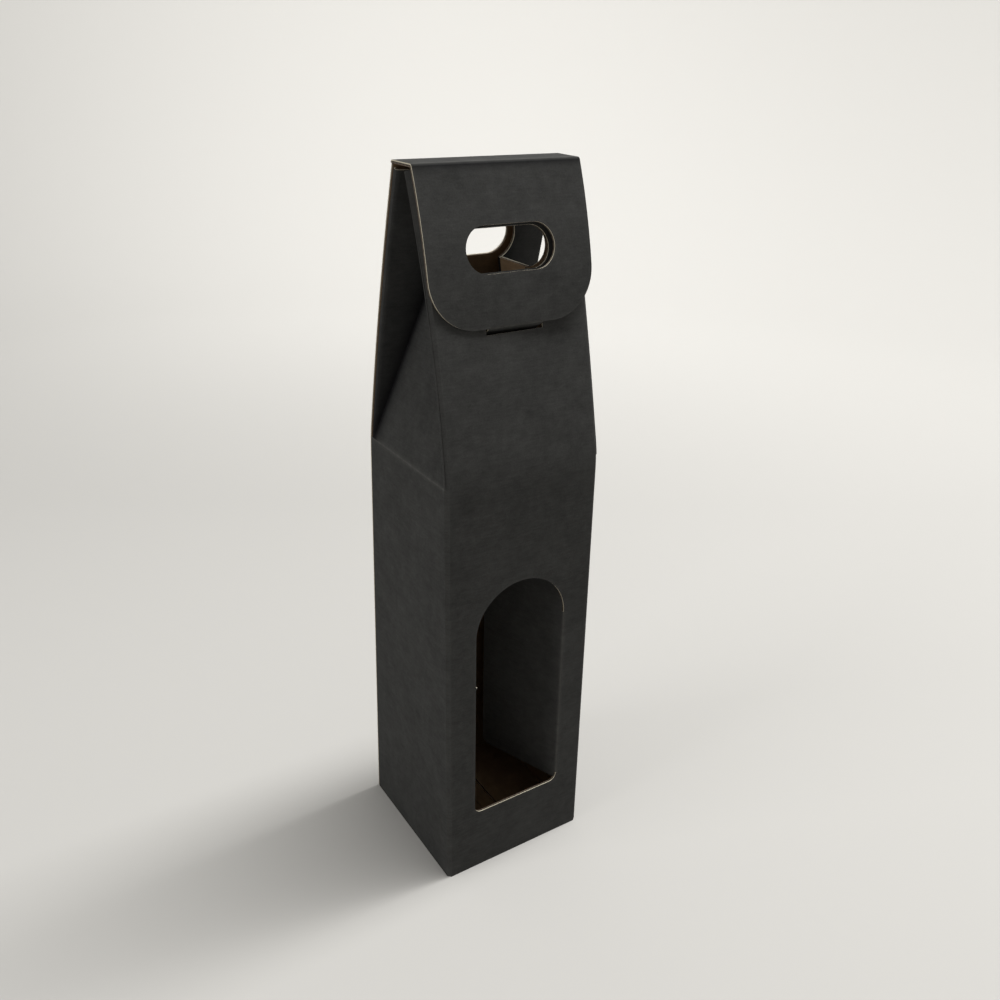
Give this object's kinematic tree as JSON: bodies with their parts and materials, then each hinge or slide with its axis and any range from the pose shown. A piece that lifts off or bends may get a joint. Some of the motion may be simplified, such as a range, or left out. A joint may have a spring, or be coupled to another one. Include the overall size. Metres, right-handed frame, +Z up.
{
  "type": "wine bottle carrier box",
  "caption": "Tall carrier box of thin corrugated board for one wine bottle, with a gable top, a tucked closing flap with a handle hole, and an arched window in the front.",
  "frame": {"origin": "on the floor, under the middle of the tube", "axes": "+Z up along the tube, -Y out of the front with the window, +X to the right as seen from the front"},
  "size_m": [0.09, 0.09, 0.383],
  "materials": {
    "black_board": "matte black outside, kraft brown inside and in the cut edges",
    "kraft_board": "matte kraft brown"
  },
  "bodies": {
    "box": {"front_panel": "black_board", "front_gable": "black_board", "left_panel": "black_board", "right_panel": "black_board", "back_panel": "black_board", "back_gable": "black_board", "seam_flap": "kraft_board", "gable_seam_flap": "kraft_board", "bottom_front_flap": "kraft_board", "bottom_back_flap": "kraft_board", "bottom_left_flap": "kraft_board", "bottom_right_flap": "kraft_board", "left_gusset": "black_board", "right_gusset": "black_board", "left_gusset_tip": "black_board", "right_gusset_tip": "black_board", "left_front_wing": "black_board", "right_front_wing": "black_board", "left_back_wing": "black_board", "right_back_wing": "black_board"},
    "strip": {"top_strip": "black_board"},
    "flap": {"closing_flap": "black_board"},
    "tab": {"tuck_tab": "black_board"},
    "window_cutout": {"window_flap": "black_board"}
  },
  "joints": [
    {"name": "strip_crease", "type": "hinge", "parent": "box", "child": "strip", "pos_m": [0, 0.0095, 0.383], "axis": [-1, 0, 0], "range_deg": [0, 100]},
    {"name": "flap_crease", "type": "hinge", "parent": "strip", "child": "flap", "pos_m": [0, -0.0095, 0.383], "axis": [-1, 0, 0], "range_deg": [0, 110]},
    {"name": "tab_crease", "type": "hinge", "parent": "flap", "child": "tab", "pos_m": [0, -0.028, 0.3116], "axis": [-1, 0, 0], "range_deg": [-35, 3]},
    {"name": "window_crease", "type": "hinge", "parent": "box", "child": "window_cutout", "pos_m": [0.02775, -0.045, 0], "axis": [0, 0.0187, 0.9998], "range_deg": [-30, 70]}
  ]
}
